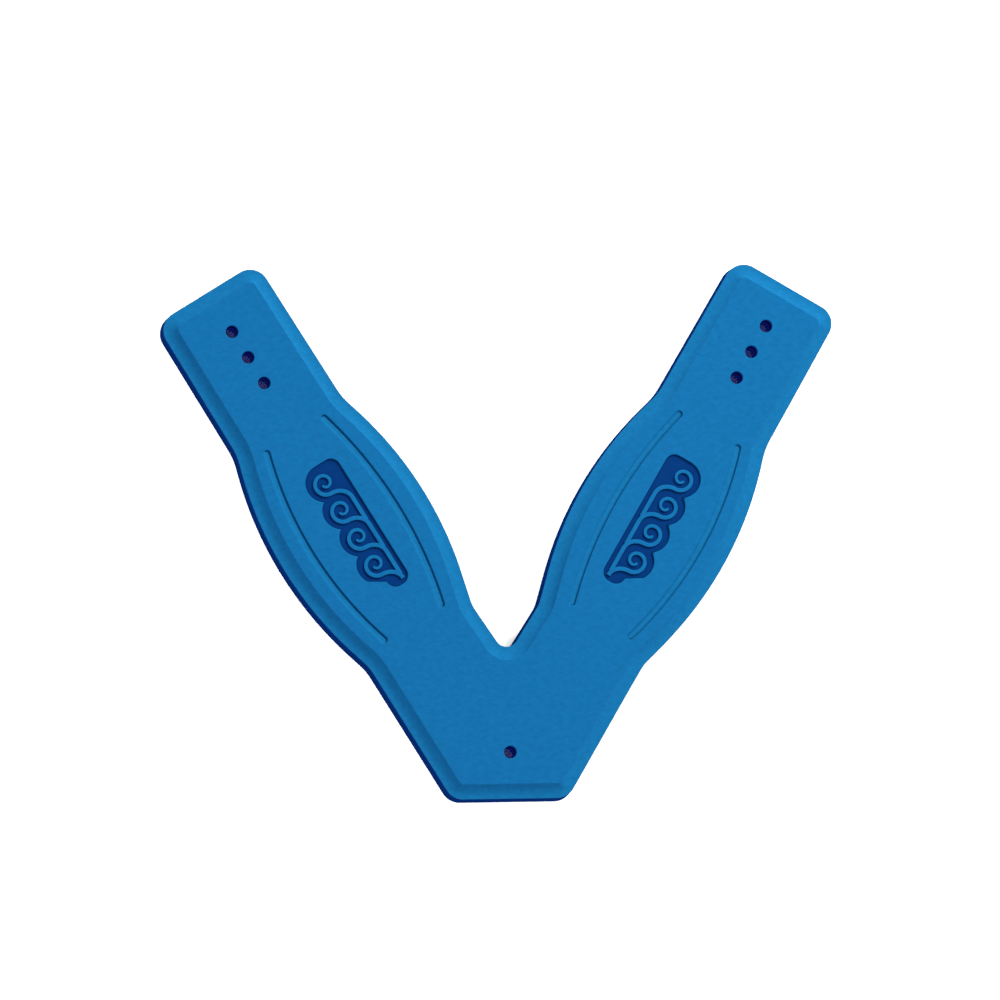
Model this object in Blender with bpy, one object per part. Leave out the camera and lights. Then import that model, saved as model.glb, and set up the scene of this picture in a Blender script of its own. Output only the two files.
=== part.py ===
"""V-shaped foot strap of two-coloured foam for a surf or foil board, lying flat.

The tip of the V points to -Y and the arms to +Y, the underside lies on Z = 0, and the middle of the
strap's box is over the origin. Places on an arm are given along its centreline, from the point where
the two centrelines cross, and across it, positive towards the arm's outer edge. Lengths in metres.
"""

import math

import bmesh
import bpy
from mathutils import Matrix, Vector

# Plan of the strap
ARM_ANGLE = math.radians(31.0)  # each arm leans this far from +Y
CROSSING_Y = -0.1213  # where the centrelines cross; this sets the box's middle at Y = 0
TIP_EDGE = 0.0115  # from the crossing down to the straight edge of the tip
TIP_CORNER_RADIUS = 0.0094
NOTCH = 0.0594  # from the crossing up to the corner between the arms
NOTCH_RADIUS = 0.0057
TAB_END = 0.2828
TAB_HALF_WIDTH = 0.0294
TAB_CORNER_RADIUS = 0.0097
# Bends of an arm's edges, tip to tab: along the arm, out from the centreline, radius
OUTER_BENDS = ((0.0820, 0.0306, 0.026), (0.1463, 0.0488, 0.187), (0.2062, 0.0302, 0.034))
INNER_BENDS = ((0.0813, 0.0294, 0.018), (0.1471, 0.0462, 0.184), (0.2034, 0.0298, 0.034))
WIDEST_STEP = math.radians(12)  # most that one facet of an arc turns
LONGEST_FACET = 0.013

# Heights of the layers
GAP = 0.0003  # clearance between pieces that touch
FLARE = 0.0005  # the lower foam is this much wider at the underside
LOWER_TOP = 0.01505
UPPER_BOTTOM = LOWER_TOP + GAP
RIM_TOP = 0.0162
STRAP_TOP = 0.0200
COVE_WIDTH = 0.0070  # the hollow ledge between the rim and the plateau
COVE_STEPS = 4

# The arms bend at their necks
LOWER_NECK = 0.083
UPPER_NECK = 0.205
BLOCK_WIDTH = 0.110  # of the boxes that divide the arms
CUTTER_OVERRUN = 0.010  # how far the cutters run past the strap

# Screw holes
HOLE_RADIUS = 0.0031
CLEARANCE_HOLE_RADIUS = 0.0035
HOLE_SIDES = 24
TAB_HOLES = (0.2295, 0.2445, 0.2595)
TIP_HOLE = 0.0113  # from the crossing, towards +Y

# Webbing core and screw plates inside
CORE_INSET = 0.009
CORE_BOTTOM = 0.01205
CORE_THICKNESS = 0.0015
PLATE_THICKNESS = 0.0012
TAB_PLATE_LENGTH = 0.052
TAB_PLATE_WIDTH = 0.022
TAB_PLATE_CORNER = 0.005
TIP_PLATE_RADIUS = 0.013
DISC_SIDES = 32
CORNER_STEPS = 4

# Grooves that frame the padded part of each arm: how far out their middle lies, and their radius
GROOVE_WIDTH = 0.0037
GROOVE_DEPTH = 0.0011
GROOVE_MIDDLE = 0.1445
GROOVE_HALF_LENGTH = 0.0545
OUTER_GROOVE = (0.0258, 0.187)
INNER_GROOVE = (-0.0231, -0.213)
GROOVE_STEPS = 12
ROUND_END_STEPS = 6

# Emblem: a row of wave curls in a pocket with a scalloped edge
EMBLEM_MIDDLE = 0.1445
POCKET_DEPTH = 0.0022
BASE_THICKNESS = 0.0006
CREST_THICKNESS = 0.0009
CURLS = 4
CURL_PITCH = 0.0158
CURL_RADIUS = 0.0060
CURL_LIFT = 0.0012  # the curls' middles lie this far towards the outer edge
EYE_RADIUS = 0.0016
CURL_TURNS = 1.15
CURL_STEPS = 16
BACK_LENGTH = 0.0070  # the sloping back of a wave, before its curl
BACK_STEPS = 6
BASE_LINE = -0.0070
STROKE_WIDTH = 0.0021
EYE_STROKE_WIDTH = 0.0013
POCKET_MARGIN = 0.0024
POCKET_CORNER = 0.0050
SHOULDER_RISE = 0.0015  # the pocket's upper corner at its start lies this far above the lower one
LAST_LOBE_END = math.radians(125)
LOBE_STEPS = 5

BLUE = (0.010, 0.170, 0.440)
NAVY = (0.001, 0.014, 0.105)
EMBLEM_NAVY = (0.002, 0.036, 0.180)
BLACK_WEBBING = (0.012, 0.012, 0.014)
BLACK_PLASTIC = (0.02, 0.02, 0.022)

SIDES = {"left": -1, "right": 1}


def new_collection(name, hidden=False):
    collection = bpy.data.collections.new(name)
    collection.hide_render = hidden
    bpy.context.scene.collection.children.link(collection)
    return collection


def new_material(name, colour, roughness):
    material = bpy.data.materials.new(name)
    material.use_nodes = True
    shader = material.node_tree.nodes["Principled BSDF"]
    shader.inputs["Base Color"].default_value = (*colour, 1.0)
    shader.inputs["Roughness"].default_value = roughness
    shader.inputs["Metallic"].default_value = 0.0
    return material


def on_arm(side, along, across):
    """The plan position of a place on an arm."""
    x = along * math.sin(ARM_ANGLE) + across * math.cos(ARM_ANGLE)
    y = along * math.cos(ARM_ANGLE) - across * math.sin(ARM_ANGLE)
    return Vector((side * x, CROSSING_Y + y))


def rounded_corner(before, corner, after, radius, inset):
    """Points along the arc that rounds a corner, moved inwards by inset. The inside is on the left."""
    arrive = (corner - before).normalized()
    leave = (after - corner).normalized()
    turn = arrive.angle_signed(leave)
    bend = abs(turn)
    centre_side = 1 if arrive.cross(leave) > 0 else -1
    start = corner - arrive * radius * math.tan(bend / 2)
    normal = Vector((-arrive.y, arrive.x)) * centre_side
    centre = start + normal * radius
    steps = max(math.ceil(bend / WIDEST_STEP), math.ceil(radius * bend / LONGEST_FACET), 2)
    points = []
    for step in range(steps + 1):
        angle = centre_side * bend * step / steps
        spoke = -normal
        turned = Vector(
            (
                spoke.x * math.cos(angle) - spoke.y * math.sin(angle),
                spoke.x * math.sin(angle) + spoke.y * math.cos(angle),
            )
        )
        points.append(centre + turned * (radius - centre_side * inset))
    return points


def strap_outline(inset=0.0):
    """The edge of the whole V, counter-clockwise, moved inwards by inset."""
    first_bend = OUTER_BENDS[0]
    tip_along = (first_bend[1] * math.sin(ARM_ANGLE) - TIP_EDGE) / math.cos(ARM_ANGLE)
    corners = [(on_arm(1, tip_along, first_bend[1]), TIP_CORNER_RADIUS)]
    corners += [(on_arm(1, along, out), radius) for along, out, radius in OUTER_BENDS]
    corners += [(on_arm(1, TAB_END, TAB_HALF_WIDTH), TAB_CORNER_RADIUS)]
    corners += [(on_arm(1, TAB_END, -TAB_HALF_WIDTH), TAB_CORNER_RADIUS)]
    corners += [(on_arm(1, along, -out), radius) for along, out, radius in reversed(INNER_BENDS)]
    mirrored = [(Vector((-point.x, point.y)), radius) for point, radius in reversed(corners)]
    corners += [(Vector((0.0, CROSSING_Y + NOTCH)), NOTCH_RADIUS)] + mirrored
    outline = []
    for index, (corner, radius) in enumerate(corners):
        before = corners[index - 1][0]
        after = corners[(index + 1) % len(corners)][0]
        outline += rounded_corner(before, corner, after, radius, inset)
    return outline


def finish_mesh(name, mesh_edit, material, collection):
    """Makes the object of a bmesh, with its faces pointing out."""
    bmesh.ops.recalc_face_normals(mesh_edit, faces=mesh_edit.faces)
    mesh = bpy.data.meshes.new(name)
    mesh_edit.to_mesh(mesh)
    mesh_edit.free()
    piece = bpy.data.objects.new(name, mesh)
    if material:
        mesh.materials.append(material)
    else:
        piece.hide_render = True
        piece.display_type = "WIRE"
    collection.objects.link(piece)
    return piece


def flat_piece(name, outline, bottom, top, material, collection):
    """A flat plate with this outline, from a filled curve that is then made a mesh."""
    curve = bpy.data.curves.new(name, "CURVE")
    curve.dimensions = "2D"
    curve.fill_mode = "BOTH"
    curve.extrude = (top - bottom) / 2
    spline = curve.splines.new("POLY")
    spline.points.add(len(outline) - 1)
    for point, place in zip(spline.points, outline):
        point.co = (place.x, place.y, 0.0, 1.0)
    spline.use_cyclic_u = True
    guide = bpy.data.objects.new(name + "_curve", curve)
    guide.location.z = (top + bottom) / 2
    collection.objects.link(guide)
    bpy.context.view_layer.update()
    evaluated = guide.evaluated_get(bpy.context.evaluated_depsgraph_get())
    mesh_edit = bmesh.new()
    mesh_edit.from_mesh(bpy.data.meshes.new_from_object(evaluated))
    mesh_edit.transform(guide.matrix_world)
    bmesh.ops.remove_doubles(mesh_edit, verts=mesh_edit.verts, dist=0.00001)
    bpy.data.objects.remove(guide)
    return finish_mesh(name, mesh_edit, material, collection)


def coved_layer(rings):
    """A closed bmesh of the whole V whose edge steps through rings, each an inset and a height."""
    mesh_edit = bmesh.new()
    loops = []
    for inset, height in rings:
        outline = strap_outline(inset)
        loops.append([mesh_edit.verts.new((place.x, place.y, height)) for place in outline])
    for lower, upper in zip(loops, loops[1:]):
        for index in range(len(lower)):
            pair = (lower[index - 1], lower[index], upper[index], upper[index - 1])
            mesh_edit.faces.new(pair)
    caps = [mesh_edit.faces.new(loops[0]), mesh_edit.faces.new(loops[-1])]
    mesh_edit.normal_update()
    bmesh.ops.triangulate(mesh_edit, faces=caps)
    return mesh_edit


def arm_block(name, side, start, end, collection):
    """A cutter box across one arm, from start to end along it."""
    height = 2 * (STRAP_TOP + CUTTER_OVERRUN)
    mesh_edit = bmesh.new()
    bmesh.ops.create_cube(mesh_edit, size=1.0)
    bmesh.ops.scale(mesh_edit, verts=mesh_edit.verts, vec=(BLOCK_WIDTH, end - start, height))
    turn = Matrix.Rotation(-side * ARM_ANGLE, 3, "Z")
    bmesh.ops.rotate(mesh_edit, verts=mesh_edit.verts, matrix=turn)
    middle = on_arm(side, (start + end) / 2, 0.0).to_3d()
    bmesh.ops.translate(mesh_edit, verts=mesh_edit.verts, vec=middle)
    return finish_mesh(name, mesh_edit, None, collection)


def neck_blocks(collection):
    """The boxes that divide the whole V into a tip, two pads and two tabs."""
    half_gap = GAP / 2
    beyond = TAB_END + CUTTER_OVERRUN
    blocks = {}
    for name, side in SIDES.items():
        spans = {
            "_arm": (LOWER_NECK - half_gap, beyond),
            "_pad": (LOWER_NECK + half_gap, UPPER_NECK - half_gap),
            "_tab": (UPPER_NECK + half_gap, beyond),
        }
        for part, (start, end) in spans.items():
            blocks[name + part] = arm_block(name + part + "_block", side, start, end, collection)
    return blocks


def trim_to_body(piece, body, blocks):
    """Leaves of the whole V what belongs to the tip, a pad or a tab."""
    if body == "tip":
        boolean(piece, blocks["left_arm"], "DIFFERENCE")
        boolean(piece, blocks["right_arm"], "DIFFERENCE")
    else:
        boolean(piece, blocks[body], "INTERSECT")


def boolean(piece, other, operation):
    modifier = piece.modifiers.new(other.name, "BOOLEAN")
    modifier.operation = operation
    modifier.solver = "EXACT"
    modifier.object = other


def cut_from(piece, cutter):
    boolean(piece, cutter, "DIFFERENCE")


def hole_cutter(name, places, radius, collection):
    """One cutter of upright cylinders that run past both faces of the strap."""
    mesh_edit = bmesh.new()
    depth = 2 * (STRAP_TOP + CUTTER_OVERRUN)
    for place in places:
        made = bmesh.ops.create_cone(
            mesh_edit, cap_ends=True, segments=HOLE_SIDES, radius1=radius, radius2=radius, depth=depth
        )
        bmesh.ops.translate(mesh_edit, verts=made["verts"], vec=place.to_3d())
    return finish_mesh(name, mesh_edit, None, collection)


def rounded_bar(side, middle, length, width, corner):
    """The outline of a plate with rounded corners, lying along an arm."""
    half_length = length / 2
    half_width = width / 2
    outline = []
    for quarter in range(4):
        along_sign = (1, -1, -1, 1)[quarter]
        across_sign = (1, 1, -1, -1)[quarter]
        for step in range(CORNER_STEPS + 1):
            angle = math.pi / 2 * (quarter + step / CORNER_STEPS)
            along = along_sign * (half_length - corner) + corner * math.cos(angle)
            across = across_sign * (half_width - corner) + corner * math.sin(angle)
            outline.append(on_arm(side, middle + along, across))
    return outline


def disc(place, radius):
    turns = [2 * math.pi * step / DISC_SIDES for step in range(DISC_SIDES)]
    return [place + Vector((radius * math.cos(turn), radius * math.sin(turn))) for turn in turns]


def groove_outline(side, apex, radius):
    """A slot of constant width along an arc that bows out to apex, with round ends."""
    reach = math.asin(GROOVE_HALF_LENGTH / abs(radius))
    half_width = GROOVE_WIDTH / 2
    bow = 1 if radius > 0 else -1
    outline = []

    def place(angle, distance):
        along = GROOVE_MIDDLE + distance * math.sin(angle)
        return on_arm(side, along, apex - radius + bow * distance * math.cos(angle))

    for step in range(GROOVE_STEPS + 1):
        outline.append(place(reach * (2 * step / GROOVE_STEPS - 1), abs(radius) + half_width))
    outline += round_end(place, reach, abs(radius), half_width, 1)
    for step in range(GROOVE_STEPS + 1):
        outline.append(place(reach * (1 - 2 * step / GROOVE_STEPS), abs(radius) - half_width))
    outline += round_end(place, -reach, abs(radius), half_width, -1)
    return outline


def round_end(place, angle, distance, half_width, direction):
    """The points of a half circle at one end of a groove, between its two long edges."""
    points = []
    for step in range(1, ROUND_END_STEPS):
        turn = math.pi * step / ROUND_END_STEPS
        out = direction * half_width * math.cos(turn)
        beyond = direction * half_width * math.sin(turn) / distance
        points.append(place(angle + beyond, distance + out))
    return points


def curl_middles():
    """How far along the emblem each curl's middle lies."""
    shift = (BACK_LENGTH + CURL_RADIUS) / 4
    return [CURL_PITCH * (number - (CURLS - 1) / 2) + shift for number in range(CURLS)]


def wave_stroke(middle, run_in):
    """The outline of one wave: a run in along the base line, a rising back and a curl."""
    spine = [(middle - CURL_RADIUS - BACK_LENGTH - run_in, BASE_LINE)]
    rise = CURL_LIFT - BASE_LINE
    for step in range(BACK_STEPS):
        angle = math.pi / 2 * step / BACK_STEPS
        along = middle - CURL_RADIUS - BACK_LENGTH * (1 - math.sin(angle))
        spine.append((along, BASE_LINE + rise * (1 - math.cos(angle))))
    for step in range(CURL_STEPS + 1):
        share = step / CURL_STEPS
        angle = math.pi - 2 * math.pi * CURL_TURNS * share
        reach = CURL_RADIUS + (EYE_RADIUS - CURL_RADIUS) * share
        spine.append((middle + reach * math.cos(angle), CURL_LIFT + reach * math.sin(angle)))
    left_edge = []
    right_edge = []
    for index, point in enumerate(spine):
        before = Vector(spine[max(index - 1, 0)])
        after = Vector(spine[min(index + 1, len(spine) - 1)])
        heading = (after - before).normalized()
        share = max(index - BACK_STEPS, 0) / CURL_STEPS
        half_width = (STROKE_WIDTH + (EYE_STROKE_WIDTH - STROKE_WIDTH) * share) / 2
        aside = Vector((-heading.y, heading.x)) * half_width
        left_edge.append(Vector(point) + aside)
        right_edge.append(Vector(point) - aside)
    return left_edge + right_edge[::-1]


def pocket_outline(side, inset=0.0):
    """The emblem's edge: a lobe round each curl, and a straight edge with round corners below."""
    lobe = CURL_RADIUS + STROKE_WIDTH / 2 + POCKET_MARGIN
    meet = math.acos(CURL_PITCH / 2 / (lobe - inset))
    middles = curl_middles()
    low_edge = BASE_LINE - STROKE_WIDTH / 2 - POCKET_MARGIN
    left_edge = middles[0] - CURL_RADIUS - BACK_LENGTH - POCKET_MARGIN
    left_middle = left_edge + POCKET_CORNER
    right_middle = middles[-1] + lobe - POCKET_CORNER
    low_middle = low_edge + POCKET_CORNER
    arcs = []
    for number in reversed(range(CURLS)):
        start = 0.0 if number == CURLS - 1 else meet
        end = LAST_LOBE_END if number == 0 else math.pi - meet
        arcs.append((middles[number], CURL_LIFT, lobe, start, end))
    arcs.append((left_middle, low_middle + SHOULDER_RISE, POCKET_CORNER, math.pi / 2, math.pi))
    arcs.append((left_middle, low_middle, POCKET_CORNER, math.pi, 1.5 * math.pi))
    arcs.append((right_middle, low_middle, POCKET_CORNER, -math.pi / 2, 0.0))
    outline = []
    for along, across, radius, start, end in arcs:
        for step in range(LOBE_STEPS + 1):
            angle = start + (end - start) * step / LOBE_STEPS
            reach = radius - inset
            place = (EMBLEM_MIDDLE + along + reach * math.cos(angle), across + reach * math.sin(angle))
            outline.append(on_arm(side, *place))
    return outline


def foam_layers(body, materials, parts, core_recess, blocks):
    """The two foams and the webbing core of one body, without the arm's own details."""
    cove_angle = 2 * math.atan((STRAP_TOP - RIM_TOP) / COVE_WIDTH)
    cove_radius = COVE_WIDTH / math.sin(cove_angle)
    upper_rings = [(0.0, UPPER_BOTTOM)]
    for step in range(COVE_STEPS + 1):
        angle = cove_angle * step / COVE_STEPS
        rise = cove_radius * (1 - math.cos(angle))
        upper_rings.append((cove_radius * math.sin(angle), RIM_TOP + rise))
    lower_rings = [(-FLARE, 0.0), (0.0, LOWER_TOP)]
    core_rings = [(CORE_INSET, CORE_BOTTOM), (CORE_INSET, CORE_BOTTOM + CORE_THICKNESS)]
    layers = []
    for name, rings, material in (
        ("upper_foam", upper_rings, "blue"),
        ("lower_foam", lower_rings, "navy"),
        ("core", core_rings, "webbing"),
    ):
        layer = finish_mesh(body + "_" + name, coved_layer(rings), materials[material], parts)
        trim_to_body(layer, body, blocks)
        layers.append(layer)
    cut_from(layers[1], core_recess)
    return layers


def drill(pieces, holes, clearance_holes):
    upper, lower, core = pieces
    cut_from(upper, holes)
    cut_from(lower, holes)
    cut_from(core, clearance_holes)


def main():
    for leftover in list(bpy.data.objects):
        bpy.data.objects.remove(leftover)
    parts = new_collection("foot_strap")
    cutter_collection = new_collection("cutters", hidden=True)
    materials = {
        "blue": new_material("blue_foam", BLUE, 0.85),
        "navy": new_material("navy_foam", NAVY, 0.85),
        "emblem_navy": new_material("emblem_navy", EMBLEM_NAVY, 0.8),
        "webbing": new_material("black_webbing", BLACK_WEBBING, 0.8),
        "plastic": new_material("black_plastic", BLACK_PLASTIC, 0.5),
    }
    plate_bottom = CORE_BOTTOM + CORE_THICKNESS + GAP
    plate_top = plate_bottom + PLATE_THICKNESS
    above = STRAP_TOP + CUTTER_OVERRUN

    def cutter(name, outline, bottom, top):
        return flat_piece(name, outline, bottom, top, None, cutter_collection)

    core_room = strap_outline(CORE_INSET - GAP)
    core_recess = cutter("core_recess", core_room, CORE_BOTTOM - GAP, UPPER_BOTTOM)
    blocks = neck_blocks(cutter_collection)

    tip = foam_layers("tip", materials, parts, core_recess, blocks)
    tip_place = Vector((0.0, CROSSING_Y + TIP_HOLE))
    tip_holes = hole_cutter("tip_hole", [tip_place], HOLE_RADIUS, cutter_collection)
    tip_clearance = hole_cutter(
        "tip_clearance", [tip_place], CLEARANCE_HOLE_RADIUS, cutter_collection
    )
    drill(tip, tip_holes, tip_clearance)
    tip_disc = disc(tip_place, TIP_PLATE_RADIUS)
    plastic = materials["plastic"]
    tip_plate = flat_piece("tip_screw_plate", tip_disc, plate_bottom, plate_top, plastic, parts)
    cut_from(tip_plate, tip_clearance)

    for side_name, side in SIDES.items():
        pad = foam_layers(side_name + "_pad", materials, parts, core_recess, blocks)
        for groove_name, (apex, radius) in (("outer", OUTER_GROOVE), ("inner", INNER_GROOVE)):
            outline = groove_outline(side, apex, radius)
            name = side_name + "_" + groove_name + "_groove"
            cut_from(pad[0], cutter(name, outline, STRAP_TOP - GROOVE_DEPTH, above))
        pocket_floor = STRAP_TOP - POCKET_DEPTH
        pocket = cutter(side_name + "_pocket", pocket_outline(side), pocket_floor, above)
        cut_from(pad[0], pocket)
        base_bottom = pocket_floor + GAP
        base_top = base_bottom + BASE_THICKNESS
        base_outline = pocket_outline(side, GAP)
        emblem_navy = materials["emblem_navy"]
        flat_piece(side_name + "_emblem_base", base_outline, base_bottom, base_top, emblem_navy, parts)
        crest_bottom = base_top + GAP
        crest_top = crest_bottom + CREST_THICKNESS
        crests = None
        for number, middle in enumerate(curl_middles()):
            run_in = 0.0 if number == 0 else CURL_PITCH - BACK_LENGTH / 3
            wave = wave_stroke(middle, run_in)
            stroke = [on_arm(side, EMBLEM_MIDDLE + place.x, place.y) for place in wave]
            if crests is None:
                name = side_name + "_emblem_crests"
                blue = materials["blue"]
                crests = flat_piece(name, stroke, crest_bottom, crest_top, blue, parts)
            else:
                name = side_name + "_wave_" + str(number)
                boolean(crests, cutter(name, stroke, crest_bottom, crest_top), "UNION")

        tab = foam_layers(side_name + "_tab", materials, parts, core_recess, blocks)
        places = [on_arm(side, along, 0.0) for along in TAB_HOLES]
        holes = hole_cutter(side_name + "_holes", places, HOLE_RADIUS, cutter_collection)
        clearance = hole_cutter(
            side_name + "_clearance", places, CLEARANCE_HOLE_RADIUS, cutter_collection
        )
        drill(tab, holes, clearance)
        bar = (side, TAB_HOLES[1], TAB_PLATE_LENGTH, TAB_PLATE_WIDTH, TAB_PLATE_CORNER)
        name = side_name + "_screw_plate"
        plate = flat_piece(name, rounded_bar(*bar), plate_bottom, plate_top, plastic, parts)
        cut_from(plate, clearance)


main()
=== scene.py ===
"""Looks of a V-shaped foam foot strap that lies flat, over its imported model.

The tip of the V points to -Y and the arms to +Y, and the underside lies on Z = 0. Places on an arm
are given along its centreline, from the point where the two centrelines cross, and across it,
positive towards the arm's outer edge. Lengths in metres.
"""

import math

import bmesh
import bpy
from mathutils import Matrix, Vector
from mathutils.geometry import delaunay_2d_cdt
from mathutils.kdtree import KDTree


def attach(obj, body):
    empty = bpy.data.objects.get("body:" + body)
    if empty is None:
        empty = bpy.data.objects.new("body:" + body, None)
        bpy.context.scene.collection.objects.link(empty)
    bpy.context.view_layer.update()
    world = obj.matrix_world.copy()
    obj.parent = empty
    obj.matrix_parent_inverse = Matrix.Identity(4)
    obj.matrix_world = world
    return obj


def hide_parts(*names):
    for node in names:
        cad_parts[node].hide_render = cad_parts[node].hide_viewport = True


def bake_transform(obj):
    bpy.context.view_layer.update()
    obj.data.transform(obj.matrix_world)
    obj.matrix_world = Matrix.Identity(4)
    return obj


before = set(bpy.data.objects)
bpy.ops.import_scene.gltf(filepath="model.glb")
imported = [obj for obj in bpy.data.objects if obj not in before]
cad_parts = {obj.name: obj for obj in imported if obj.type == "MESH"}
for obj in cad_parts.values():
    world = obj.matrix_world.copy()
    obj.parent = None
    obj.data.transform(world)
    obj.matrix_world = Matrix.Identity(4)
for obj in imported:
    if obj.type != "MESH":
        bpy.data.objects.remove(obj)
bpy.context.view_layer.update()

# Plan of the strap
ARM_ANGLE = math.radians(31.0)  # each arm leans this far from +Y
CROSSING_Y = -0.1213  # where the centrelines cross
TIP_EDGE = 0.0115  # from the crossing down to the straight edge of the tip
TIP_CORNER_RADIUS = 0.0094
NOTCH = 0.0594  # from the crossing up to the corner between the arms
NOTCH_RADIUS = 0.0057
TAB_END = 0.2828
TAB_HALF_WIDTH = 0.0294
TAB_CORNER_RADIUS = 0.0097
# Bends of an arm's edges, tip to tab: along the arm, out from the centreline, radius
OUTER_BENDS = ((0.0820, 0.0306, 0.026), (0.1463, 0.0488, 0.187), (0.2062, 0.0302, 0.034))
INNER_BENDS = ((0.0813, 0.0294, 0.018), (0.1471, 0.0462, 0.184), (0.2034, 0.0298, 0.034))
ARC_STEP = math.radians(4)  # most that one facet of an arc turns
EDGE_STEP = 0.0025  # longest facet of the edge

# Heights of the layers
LAYER_SEAM = 0.0152  # where the upper foam meets the lower foam
RIM_TOP = 0.0162
FLARE = 0.0005  # the lower foam is this much wider at the underside
STRAP_TOP = 0.0200
COVE_WIDTH = 0.0070  # the hollow ledge between the rim and the plateau
COVE_START = math.radians(1)  # how steeply the cove leaves the rim
COVE_STEPS = 14
SEAM_ROUND = 0.00015
RIM_ROUND = 0.00025
PLATEAU_ROUND = 0.0003
PLATEAU_STEPS = 4
UNDERSIDE_ROUND = 0.0004
ROUND_STEPS = 3
SUPPORT = 0.0003  # width of the flat strip beside each rounded edge, which keeps flats flat

# Where the skins are divided, along an arm, and where they bend
TIP_JOIN = 0.058
PAD_JOIN = 0.106
LOWER_FLEX = (0.063, 0.103)
UPPER_FLEX = (0.186, 0.224)
FILL_STEP = 0.0035  # spacing of the points inside a flat face, so that it can bend
TRIANGLES_INSIDE = 1  # the kind of triangulation that stops at the outline
SAME_CORNER = 1e-8  # corners nearer than this are one, in a triangulation
SAME_POINT = 1e-7  # and in a finished mesh

# Screw holes
HOLE_RADIUS = 0.0031
CLEARANCE_HOLE_RADIUS = 0.0035
HOLE_LIP = 0.00045
HOLE_LIP_STEPS = 5
HOLE_SIDES = 40
TAB_HOLES = (0.2295, 0.2445, 0.2595)
TIP_HOLE = 0.0113  # from the crossing, towards +Y

# Webbing core and screw plates inside
CORE_INSET = 0.009
CORE_BOTTOM = 0.01205
CORE_THICKNESS = 0.0015
CORE_ROUND_STEPS = 6
INNER_GAP = 0.0003

# Grooves
GROOVE_HALF_WIDTH = 0.00185
GROOVE_MIDDLE = 0.1445
GROOVE_HALF_LENGTH = 0.0545
GROOVES = ((0.0258, 0.187), (-0.0231, -0.213))  # how far across the middle lies, and the radius
# Each half of a groove's cross-section, from the plateau to its floor: distance out from the half
# width, and height from the top. One wall stands steep over a narrow slit, and the other slopes.
STEEP_WALL = (
    (0.00060, 0.0),
    (0.00030, 0.0),
    (0.00012, -0.00003),
    (0.0, -0.00012),
    (-0.00014, -0.00090),
    (-0.00022, -0.00160),
    (-0.00038, -0.00175),
    (-0.00054, -0.00165),
    (-0.00070, -0.00125),
    (-0.00095, -0.00112),
    (-0.00185, -0.00110),
)
SLOPED_WALL = (
    (0.00060, 0.0),
    (0.00030, 0.0),
    (0.00010, -0.00003),
    (-0.00006, -0.00012),
    (-0.00024, -0.00030),
    (-0.00042, -0.00050),
    (-0.00060, -0.00070),
    (-0.00080, -0.00088),
    (-0.00100, -0.00101),
    (-0.00125, -0.00109),
    (-0.00185, -0.00110),
)
STEEP_SIDES = {"left": -1, "right": 1}  # the side of each groove, across the arm, that is steep
GROOVE_LIP_RINGS = 5  # the first rows of both walls, which the skin still covers
GROOVE_STEPS = 60
ROUND_END_STEPS = 12

# Emblem: a row of wave curls in a pocket with a scalloped edge
EMBLEM_MIDDLE = 0.1445  # along the arm
POCKET_DEPTH = 0.0022
BASE_TOP = STRAP_TOP - 0.0013
BASE_GAP = 0.00012  # between the navy base and the pocket's wall
CREST_TOP = STRAP_TOP - 0.0001
# Edges of the pocket and of the base: distance in from the wall, and height from the top
POCKET_EDGE = (
    (-0.0006, 0.0),
    (-0.0003, 0.0),
    (-0.00012, -0.00005),
    (0.0, -0.0003),
    (0.00005, -POCKET_DEPTH),
)
BASE_EDGE = ((0.0, -0.0002), (0.00006, -0.00006), (0.0002, 0.0), (0.0005, 0.0))
CURLS = 4
CURL_PITCH = 0.0158
CURL_RADIUS = 0.0060
CURL_LIFT = 0.0012  # how far across the arm the middles of the curls lie
EYE_RADIUS = 0.0016  # where a curl ends
CURL_TURNS = 1.15
CURL_STEPS = 56
BACK_LENGTH = 0.0070  # of the rising back of a wave
BACK_STEPS = 12
BASE_LINE = -0.0070  # how far across the arm the line lies that the waves rise from
STROKE_WIDTH = 0.0021
EYE_STROKE_WIDTH = 0.0013  # the stroke narrows to this
EYE_CAP_STEPS = 8
CREST_BEVEL = 0.00025
CREST_BEVEL_STEPS = 3
SHARP_ANGLE = math.radians(60)  # only edges sharper than this are bevelled
POCKET_MARGIN = 0.0024  # from the waves out to the pocket's wall
POCKET_CORNER = 0.0050  # radius
SHOULDER_RISE = 0.0015  # straight stretch between the two corners by the first wave's back
LAST_LOBE_END = math.radians(125)  # where the wall leaves the lobe round the first curl
LOBE_STEPS = 20
LEAST_STEP = 1e-6  # keeps two corners of the pocket's edge apart

SIDES = {"left": -1, "right": 1}
CUT_SLOT = 1  # the material slot of the foam that was cut below its skin
HOLE_SLOT = 2  # the material slot of the walls of the screw holes, with their painted shade and glow

# Colours, linear
BLUE = (0.0045, 0.0885, 0.233)
CUT_BLUE = (0.0052, 0.099, 0.248)  # of the cove and the grooves, cut below the skin
NAVY = (0.0010, 0.0150, 0.095)
# Painted light and shade of the screw holes: the navy of their shaded inside, put on the walls of
# both foams and lighter than the lower foam's own navy, and a painted glow from those walls
PAINTED_HOLE_SHADE = (0.0020, 0.0150, 0.250)
PAINTED_HOLE_GLOW = (0.0020, 0.0045, 0.058)  # painted glow of the hole walls, which lights their shade
EMBLEM_NAVY = (0.0013, 0.022, 0.113)
SHEEN_TINT = (0.05, 0.35, 0.75)
WEBBING = (0.012, 0.012, 0.014)
PLASTIC = (0.020, 0.020, 0.022)
FLOOR_PALE = (0.95, 0.95, 0.95)

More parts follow.
